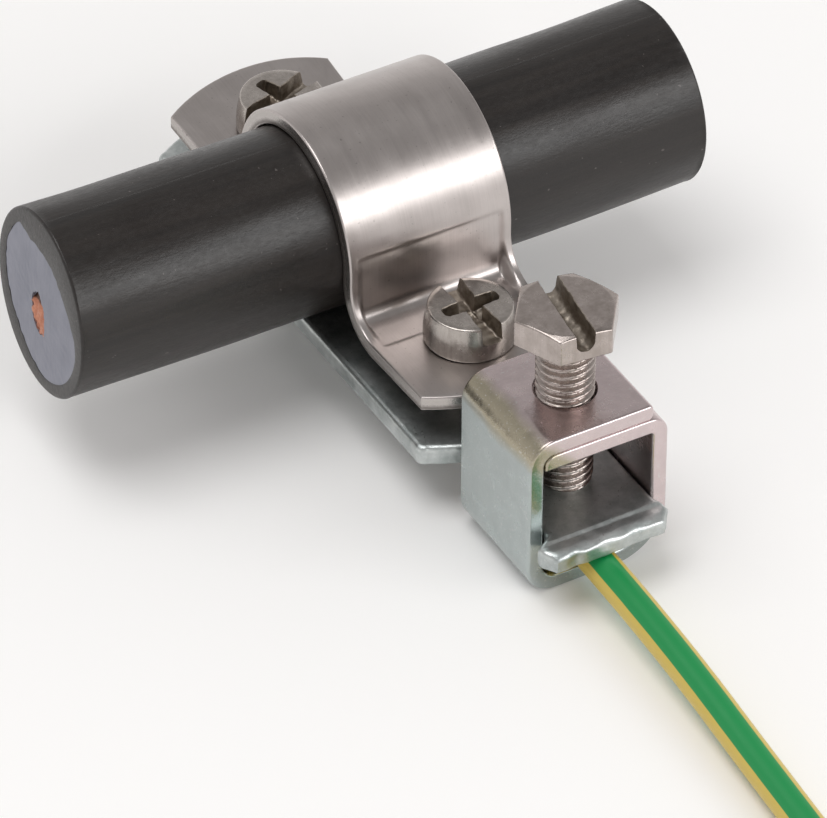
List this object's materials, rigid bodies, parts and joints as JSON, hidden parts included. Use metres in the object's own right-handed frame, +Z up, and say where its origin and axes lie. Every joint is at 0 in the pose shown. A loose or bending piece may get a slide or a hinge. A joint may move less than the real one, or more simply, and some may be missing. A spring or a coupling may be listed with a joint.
{
  "type": "conductor clamp",
  "caption": "Strap clamp that holds a round cable on a base plate with cheese-head screws, with a boxed screw terminal for an earth wire on the plate's front tongue.",
  "frame": {"origin": "middle of the clamp's box at the level of the terminal frame's underside, on which it stands", "axes": "+X along the conductor, -Y towards the earth terminal, +Z up from the plate through the strap's crown"},
  "size_m": [0.0972, 0.167, 0.0392],
  "materials": {
    "galvanised_plate": "mottled zinc",
    "stainless_strap": "rolled stainless",
    "stainless_screw": "turned stainless",
    "zinc_frame": "bright zinc, lightly tinted",
    "hexagon_screw": "turned, satin",
    "black_sheath": "extruded, streaky satin",
    "grey_insulation": "sawn, matt",
    "copper": "cut copper",
    "green_yellow_cover": "extruded, glossy"
  },
  "bodies": {
    "base": {"base_plate": "galvanised_plate", "conductor_sheath": "black_sheath", "conductor_insulation": "grey_insulation", "conductor_core": "copper", "earth_wire_cover": "green_yellow_cover", "earth_wire_core": "copper"},
    "strap": {"clamp_strap": "stainless_strap"},
    "front_screw": {"strap_screw_front": "stainless_screw"},
    "rear_screw": {"strap_screw_rear": "stainless_screw"},
    "terminal_screw": {"terminal_screw": "hexagon_screw"},
    "terminal_frame": {"terminal_frame": "zinc_frame"}
  },
  "joints": [
    {"name": "strap_lift", "type": "slide", "parent": "base", "child": "strap", "axis": [0, 0, 1], "range_m": [0, 0.00625]},
    {"name": "front_screw_turn", "type": "hinge", "parent": "strap", "child": "front_screw", "pos_m": [0.00374, -0.01393, 0.02365], "axis": [0, 0, 1], "range_deg": [0, 1800]},
    {"name": "rear_screw_turn", "type": "hinge", "parent": "strap", "child": "rear_screw", "pos_m": [0.00374, 0.03807, 0.02365], "axis": [0, 0, 1], "range_deg": [0, 1800]},
    {"name": "frame_slide", "type": "slide", "parent": "base", "child": "terminal_frame", "axis": [0, 0, -1], "range_m": [0, 0.00375]},
    {"name": "terminal_screw_turn", "type": "hinge", "parent": "base", "child": "terminal_screw", "pos_m": [0.00374, -0.0387, 0.02365], "axis": [0, 0, 1], "range_deg": [0, 1080]}
  ],
  "couplings": [
    {"joint": "front_screw_turn", "follows": "strap_lift", "rad_per_m": 5026.5},
    {"joint": "rear_screw_turn", "follows": "strap_lift", "rad_per_m": 5026.5},
    {"joint": "terminal_screw_turn", "follows": "frame_slide", "rad_per_m": 5026.5}
  ]
}
